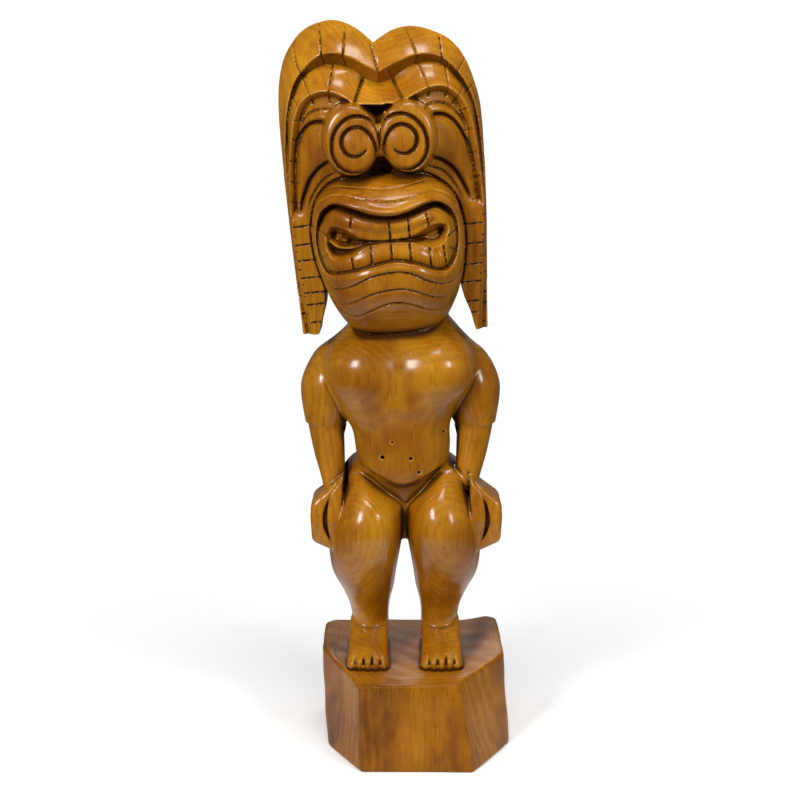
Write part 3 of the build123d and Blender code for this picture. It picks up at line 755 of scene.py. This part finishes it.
def face_normals(points, faces):
    a, b, c, d = (points[faces[:, k]] for k in range(4))
    return np.cross(c - a, d - b)


def vertex_normals(points, faces):
    normal = face_normals(points, faces)
    out = np.zeros_like(points)
    for k in range(4):
        for axis in range(3):
            out[:, axis] += np.bincount(faces[:, k], normal[:, axis], len(points))
    return out / np.maximum(np.linalg.norm(out, axis=1, keepdims=True), 1e-9)


# The hollowness sets how far the finish is darkened towards umber: dark antiquing in the carved cuts,
# and painted shade in creases and recesses.
def hollowness(form, points, normals):
    """How shut in each point is: one in a deep cut, nought in the open, below nought on an edge."""
    slope = values_at(form, points + normals * 0.8) - values_at(form, points - normals * 0.8)
    slope = np.clip(slope / 1.6, 0.3, 1.3)
    near, middle, far = (1 - values_at(form, points + normals * reach) / (reach * slope)
                         for reach in (2.5, 7, 18))
    shut_in = 0.45 * np.clip(near - 0.03, 0, 1) + 0.45 * np.clip(middle - 0.08, 0, 1)
    shut_in = shut_in + 0.35 * np.clip(far - 0.25, 0, 1)
    edge = np.clip(1 + values_at(form, points - normals * 3) / (3 * slope), 0, 1)
    return np.clip(shut_in, 0, 1) - np.clip(edge - 0.06, 0, 1) * (shut_in < 0.25)


# ---- Sharing the skin out among the sections ----
names = sorted(frame["nodes"])


def section_of(points):
    """The number of the section that each point belongs to."""
    x, y, z = points.T
    a, y, h = head_place(x, y, z)
    out = np.full(len(points), names.index("torso"))
    left = x > 0

    def give(where, name):
        out[where] = names.index(name)

    def give_pair(where, name, side=None):
        side = left if side is None else side
        give(where & side, f"left_{name}")
        give(where & ~side, f"right_{name}")

    give(z < WAIST, "pelvis")
    body_across = np.abs(x - BODY_X)
    armpit = track(z, (ELBOW, 475, 500, 530, 555, 580), (68, 77, 88, 97, 98, ARM_PLANE))
    give_pair((body_across > armpit) & (z > ELBOW), "upper_arm")
    forearm_side = track(z, (HIP, ELBOW + 2), (71, 79.5))
    give_pair((body_across > forearm_side) & (z <= ELBOW), "forearm")
    rise = np.where(left, 0.95, 0.62) * (np.abs(x) - 15)
    crease = np.where(y < -12, np.minimum(366 + rise + 0.35 * (y + 60), HIP + 10), HIP + 10)
    give_pair((body_across <= forearm_side) & (z < crease), "leg")
    give_pair((body_across > forearm_side) & (z < HIP - 4), "leg")
    hand_top = 389 - 0.78 * (np.abs(x) - 100)
    give_pair((np.abs(x) > HAND_PLANE - 1) & (z <= hand_top) & (z > 280), "hand")
    give_pair(z < ANKLE, "foot")
    head = ((h > 0) | ((h > -7) & (a > 94))) & (z > 560)
    give(head, "head_block")
    flap = head & (np.abs(a) > np.where(h < 110, 88, 99)) & (h < BROW_LEVEL) & (y < 31)
    give_pair(flap, "flap", a > 0)
    hollow_side = sample(muzzle, a, h)
    give(head & (y < -FACE_DEPTH + 8) & (hollow_side < 1.5) & (h < BROW_LEVEL), "muzzle")
    cheek = head & (h < BROW_LEVEL) & (h > 166) & (hollow_side >= 1.5) & (y < -36)
    give_pair(cheek & (np.abs(a) < 122), "cheek", a > 0)
    mouth = head & (sample(lips, a, h) < -1) & (y < -60)
    give(mouth & (sample(slit, a, h) > 0), "upper_teeth")
    give(mouth & (sample(slit, a, h) <= 0), "lower_teeth")
    top = head & (h >= BROW_LEVEL)
    give(top, "outer_crest")
    forward = top & (y < -34)
    give(forward & (sample(outer, a, h) < -2), "inner_crest")
    sunk = forward & (sample(inner, a, h) < -2)
    give(sunk, "brow")
    give_pair(sunk & (sample(eyes, a, h) < 0.5), "eye", a > 0)
    give_pair(head & (sample(discs, a, h) < 1.5) & (y < -84), "nostril", a > -0.5)
    return out


def loops_of(edges):
    """Groups a bmesh's open edges into connected loops."""
    waiting = set(edges)
    groups = []
    while waiting:
        group, front = [], [waiting.pop()]
        while front:
            edge = front.pop()
            group.append(edge)
            for vert in edge.verts:
                for other in vert.link_edges:
                    if other in waiting:
                        waiting.discard(other)
                        front.append(other)
        groups.append(group)
    return groups


def shut_flat(bm, back):
    """Shuts a relief piece: its rim is run straight back to a flat plate at y = back."""
    rim = [e for e in bm.edges if e.is_boundary]
    behind = {}
    for edge in rim:
        for vert in edge.verts:
            if vert not in behind:
                behind[vert] = bm.verts.new((vert.co.x, back, vert.co.z))
    plate = []
    for edge in rim:
        loop = edge.link_loops[0]
        first, second = loop.vert, loop.link_loop_next.vert
        bm.faces.new((second, first, behind[first], behind[second]))
        plate.append(bm.edges.get((behind[first], behind[second])))
    made = bmesh.ops.triangle_fill(bm, use_beauty=False, use_dissolve=False, edges=plate)
    for face in made["geom"]:
        if isinstance(face, bmesh.types.BMFace):
            face.normal_update()
            if face.normal.y < 0:
                face.normal_flip()


HUB_DEPTH = 4 * METRE


def shut_to_heart(bm, heart):
    """Shuts each open loop with a fan: to the heart, or if that is None to its own middle."""
    centre = sum((v.co for v in bm.verts), start=Vector()) / len(bm.verts)
    for group in loops_of([e for e in bm.edges if e.is_boundary]):
        verts = {v for e in group for v in e.verts}
        middle = sum((v.co for v in verts), start=Vector()) / len(verts)
        hub = bm.verts.new(heart or middle + (centre - middle).normalized() * HUB_DEPTH)
        for edge in group:
            loop = edge.link_loops[0]
            bm.faces.new((loop.link_loop_next.vert, loop.vert, hub))


def head_point(a, y, h):
    c, s = math.cos(LEAN), math.sin(LEAN)
    return Vector((NECK[0] + a * c - h * s, y, NECK[2] + a * s + h * c)) * METRE


RELIEF_PIECES = ("brow", "inner_crest", "muzzle", "upper_teeth", "lower_teeth", "left_eye",
                 "right_eye", "left_cheek", "right_cheek", "left_nostril", "right_nostril")
BACK_PLATE = -28 * METRE
HEARTS = {"head_block": head_point(0, 8, 24), "outer_crest": head_point(0, 10, 232)}


def add_object(name, data):
    thing = bpy.data.objects.new(name, data)
    bpy.context.collection.objects.link(thing)
    return thing


def make_piece(name, points, faces, normals, hollow, material):
    used, inverse = np.unique(faces, return_inverse=True)
    faces = inverse.reshape(-1, 4)
    mesh = bpy.data.meshes.new(name)
    mesh.from_pydata((points[used] * METRE).tolist(), [], faces.tolist())
    shade = mesh.attributes.new("hollow", "FLOAT", "POINT")
    shade.data.foreach_set("value", hollow[used].astype(np.float32))
    bm = bmesh.new()
    bm.from_mesh(mesh)
    count = len(bm.verts)
    if name.removeprefix("carved_") in RELIEF_PIECES:
        shut_flat(bm, BACK_PLATE)
    else:
        shut_to_heart(bm, HEARTS.get(name.removeprefix("carved_")))
    bm.to_mesh(mesh)
    bm.free()
    mesh.shade_smooth()
    vectors = np.zeros(len(mesh.vertices) * 3, np.float32)
    mesh.vertices.foreach_get("normal", vectors)
    vectors = vectors.reshape(-1, 3)
    vectors[:count] = normals[used]
    mesh.normals_split_custom_set_from_vertices(vectors.tolist())
    mesh.materials.append(material)
    return add_object(name, mesh)


# ---- Materials ----
class Socket:
    """A node socket that takes part in sums, so shader maths reads as plain expressions."""

    def __init__(self, tree, source):
        self.tree = tree
        self.source = source

    def math(self, operation, *others):
        node = self.tree.nodes.new("ShaderNodeMath")
        node.operation = operation
        for slot, value in zip(node.inputs, (self, *others)):
            feed(self.tree, slot, value)
        return Socket(self.tree, node.outputs[0])

    def __add__(self, other):
        return self.math("ADD", other)

    def __sub__(self, other):
        return self.math("SUBTRACT", other)

    def __rsub__(self, other):
        return (self * -1) + other

    def __mul__(self, other):
        return self.math("MULTIPLY", other)

    def __pow__(self, other):
        return self.math("POWER", other)

    __radd__ = __add__
    __rmul__ = __mul__


def feed(tree, slot, value):
    if isinstance(value, Socket):
        tree.links.new(value.source, slot)
    else:
        slot.default_value = value


class NodeTree:
    """A node tree under construction."""

    def __init__(self, tree):
        self.tree = tree

    def node(self, kind, sockets, output=0, stops=(), **settings):
        """Adds a node: its settings and ramp stops first, then values or links by socket."""
        node = self.tree.nodes.new("ShaderNode" + kind)
        for key, value in settings.items():
            setattr(node, key, value)
        if stops:
            elements = node.color_ramp.elements
            while len(elements) < len(stops):
                elements.new(0.5)
            for element, (place, colour) in zip(elements, stops):
                element.position = place
                element.color = (*colour, 1)
        for key, value in sockets.items():
            feed(self.tree, node.inputs[key], value)
        return Socket(self.tree, node.outputs[output])

    def mix(self, share, first, second, kind="MIX"):
        """Two colours mixed by share."""
        first, second = (c if isinstance(c, Socket) else (*c, 1) for c in (first, second))
        sockets = {0: share, 6: first, 7: second}
        return self.node("Mix", sockets, 2, data_type="RGBA", blend_type=kind)

    def smooth(self, value, lower, upper):
        """Nought at lower and one at upper, eased at both ends."""
        sockets = {0: value, 1: lower, 2: upper}
        return self.node("MapRange", sockets, interpolation_type="SMOOTHSTEP")


class Finish(NodeTree):
    """A material under construction, round its Principled shader."""

    def __init__(self, name):
        self.material = bpy.data.materials.new(name)
        self.material.use_nodes = True
        super().__init__(self.material.node_tree)
        self.shader = self.tree.nodes["Principled BSDF"]

    def use(self, values):
        for key, value in values.items():
            feed(self.tree, self.shader.inputs[key], value)


AMBER = (0.47, 0.200, 0.006)
HONEY = (0.32, 0.116, 0.002)
RUSSET = (0.20, 0.052, 0.001)
# UMBER is the dark of the antiquing and of the painted shade laid into the hollows.
UMBER = (0.066, 0.021, 0.001)
OCHRE = (0.40, 0.155, 0.004)
TAWNY = (0.27, 0.095, 0.002)
BARK = (0.10, 0.032, 0.002)
WORN_GOLD = (0.62, 0.33, 0.05)
RING_TINT = (0.60, 0.46, 0.34)
PORE_TINT = (0.42, 0.30, 0.22)

# The log's heart, in metres off the origin, and how closely its rings follow one another.
HEART_X = 0.03
HEART_Y = 0.045
HEART_SLANT = 0.03
RING_RATE = 900.0


def carved_wood(name, pale, middle, dark, gloss, streaks):
    """Stained hardwood under varnish: growth rings about the log's heart, pores, and cuts darkened
    with dark antiquing and painted shade.
    """
    wood = Finish(name)
    place = wood.node("TexCoord", {}, 3)

    def noise(scale, detail, along=None, **more):
        vector = place
        if along:
            vector = wood.node("Mapping", {"Vector": place, "Scale": (1, 1, along)})
        return wood.node("TexNoise", {"Vector": vector, "Scale": scale, "Detail": detail, **more})

    x, y, z = (wood.node("SeparateXYZ", {0: place}, axis) for axis in range(3))
    from_heart = ((x - HEART_X + z * HEART_SLANT) ** 2.0 + (y - HEART_Y) ** 2.0) ** 0.5
    radius = from_heart + noise(9.0, 3.0, 0.16) * 0.05
    ring = (radius * RING_RATE).math("SINE") * 0.5 + 0.5
    clouds = noise(13.0, 4.0, 0.45, Roughness=0.6)
    pores = wood.smooth(noise(420.0, 2.0, 0.05, Roughness=0.6), 0.56, 0.70)
    stops = ((0.30, dark), (0.47, middle), (0.68, pale))
    tone = wood.node("ValToRGB", {0: clouds}, stops=stops)
    tone = wood.mix(ring * streaks, tone, wood.mix(1.0, tone, RING_TINT, "MULTIPLY"))
    tone = wood.mix(pores * 0.5, tone, wood.mix(1.0, tone, PORE_TINT, "MULTIPLY"))
    hollow = wood.node("Attribute", {}, 2, attribute_name="hollow")
    # Painted shade together with dark antiquing: the hollowness, an occlusion-like measure, darkens
    # cuts, creases and recesses towards umber.
    antiquing_and_shade = wood.smooth(hollow + clouds * 0.24 - 0.12, 0.05, 0.58)
    tone = wood.mix(antiquing_and_shade, tone, UMBER)
    worn = wood.smooth(hollow, -0.06, -0.40)
    tone = wood.mix(worn * 0.32, tone, WORN_GOLD)
    height = noise(60.0, 2.0) * 0.6 - pores * 0.25
    bump = wood.node("Bump", {"Height": height, "Strength": 0.35, "Distance": 0.0006})
    wood.use({
        "Base Color": tone,
        "Roughness": 0.42 + antiquing_and_shade * 0.25,
        "Coat Weight": gloss - antiquing_and_shade * 0.5 * gloss,
        "Coat Roughness": 0.19,
        "Coat IOR": 1.42,
        "IOR": 1.4,
        "Specular IOR Level": 0.1,
        "Normal": bump})
    return wood.material


figure_wood = carved_wood("figure_wood_finish", AMBER, HONEY, RUSSET, 0.85, 0.30)
base_wood = carved_wood("base_wood_finish", OCHRE, TAWNY, BARK, 0.16, 0.5)
tooth_wood = carved_wood("tooth_wood_finish", AMBER, HONEY, RUSSET, 0.7, 0.25)
FINISHES = {"figure_wood": figure_wood, "base_wood": base_wood, "tooth_wood": tooth_wood}
slots = {row["node"]: row["material_slot"] for row in frame["record"]["subparts"]}


def add_piece(name, points, faces, normals, hollow):
    piece = make_piece(f"carved_{name}", points, faces, normals, hollow, FINISHES[slots[name]])
    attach(piece, "root")
    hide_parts(name)


def settle_labels(faces, labels, rounds=6):
    """Gives a face to the section that three or more of its neighbours belong to."""
    count = faces.max() + 1
    edges = np.sort(np.stack([faces, np.roll(faces, -1, 1)], 2).reshape(-1, 2), 1)
    key = edges[:, 0] * count + edges[:, 1]
    order = np.argsort(key, kind="stable")
    same = key[order][:-1] == key[order][1:]
    first, second = order[:-1][same], order[1:][same]
    beside = np.tile(np.arange(len(faces))[:, None], (1, 4))
    beside[first // 4, first % 4] = second // 4
    beside[second // 4, second % 4] = first // 4
    for _ in range(rounds):
        near = np.sort(labels[beside], 1)
        for k in (0, 1):
            agreed = near[:, k] == near[:, k + 2]
            labels = np.where(agreed, near[:, k], labels)
    return labels


def lap_shade(points):
    """Painted shade and dark antiquing in the lap below the belly, added to the hollowness."""
    x, y, z = points.T
    return 0.42 * np.exp(-((x + 4) / 44) ** 2 - ((z - 381) / 17) ** 2) * blend(-66, -52, y) * (y < 0)


def carve(form, lowest, highest, cell, owner, shading_form):
    points, faces = skin(form, lowest, highest, cell)
    points = settle(form, points, cell)
    normals = vertex_normals(points, faces)
    # The hollowness drives the painted shade and dark antiquing of the finish, and the lap gets more
    # of both.
    hollow = hollowness(shading_form, points, normals) + lap_shade(points)
    middles = points[faces].mean(1)
    labels = settle_labels(faces, owner(middles))
    for number, name in enumerate(names):
        mine = labels == number
        if mine.any():
            add_piece(name, points, faces[mine], normals, hollow)


def base_owner(points):
    return np.full(len(points), names.index("base_block"))


def above_base(x, y, z):
    return np.maximum(figure_form(x, y, z), BASE_TOP - z)


def whole_form(x, y, z):
    return np.minimum(base_form(x, y, z), figure_form(x, y, z))


BASE_REGION = ((-128, -144, -6), (156, 150, BASE_TOP + 14))
FIGURE_REGION = ((-174, -144, BASE_TOP - 4), (146, 146, 1008))
carve(base_form, *BASE_REGION, BASE_CELL, base_owner, whole_form)
carve(above_base, *FIGURE_REGION, FIGURE_CELL, section_of, whole_form)

# ---- Floor, light and camera ----
WHITE = (1, 1, 1, 1)
floor_finish = Finish("pale_floor")
from_middle = floor_finish.node("VectorMath", {0: floor_finish.node("TexCoord", {}, 3)}, 1,
                                operation="LENGTH")
floor_finish.use({
    "Base Color": (0.9, 0.9, 0.9, 1),
    "Roughness": 0.9,
    "Emission Color": WHITE,
    "Emission Strength": 0.18,
    "Alpha": floor_finish.smooth(from_middle, 0.9, 0.24)})
bpy.ops.mesh.primitive_circle_add(vertices=96, radius=3, fill_type="NGON", location=(0, 0, 0))
floor = bpy.context.object
floor.name = "studio_floor"
floor.data.materials.append(floor_finish.material)

scene = bpy.context.scene
scene.world = bpy.data.worlds.new("studio")
scene.world.use_nodes = True
studio = NodeTree(scene.world.node_tree)
background = studio.tree.nodes["Background"]
background.inputs[0].default_value = WHITE
AWAY_FROM_CAMERA = 0.13
seen = studio.node("LightPath", {}, "Is Camera Ray")
brightness = seen * (1 - AWAY_FROM_CAMERA) + AWAY_FROM_CAMERA
feed(studio.tree, background.inputs[1], brightness)
scene.view_settings.view_transform = "Standard"


def add_light(name, place, target, size, power):
    lamp = bpy.data.lights.new(name, "AREA")
    lamp.shape = "RECTANGLE"
    lamp.size, lamp.size_y = size
    lamp.energy = power
    holder = add_object(name, lamp)
    holder.location = place
    direction = np.array(target) - np.array(place)
    holder.rotation_euler = (
        math.atan2(math.hypot(direction[0], direction[1]), -direction[2]), 0,
        math.atan2(direction[1], direction[0]) - math.pi / 2)


add_light("left_window", (-1.3, -2.0, 1.7), (0, 0, 0.55), (0.6, 0.9), 55)
add_light("right_window", (1.5, -1.8, 1.6), (0, 0, 0.55), (0.4, 0.7), 24)
add_light("top_panel", (0.2, -0.9, 2.7), (0, 0, 0.5), (0.9, 0.6), 25)
add_light("back_panel", (0.3, 2.2, 1.8), (0, 0, 0.5), (1.6, 1.2), 26)

camera_data = bpy.data.cameras.new("camera")
camera = add_object("camera", camera_data)
VIEW_DISTANCE, VIEW_HEIGHT, VIEW_TARGET = 2.1, 0.9, 0.48
camera.location = (0, -VIEW_DISTANCE, VIEW_HEIGHT)
camera.rotation_euler = (math.pi / 2 - math.atan2(VIEW_HEIGHT - VIEW_TARGET, VIEW_DISTANCE), 0, 0)
camera_data.sensor_width = 36
camera_data.lens = 69.8
camera_data.shift_x = -0.006
camera_data.shift_y = 0.0107
scene.camera = camera
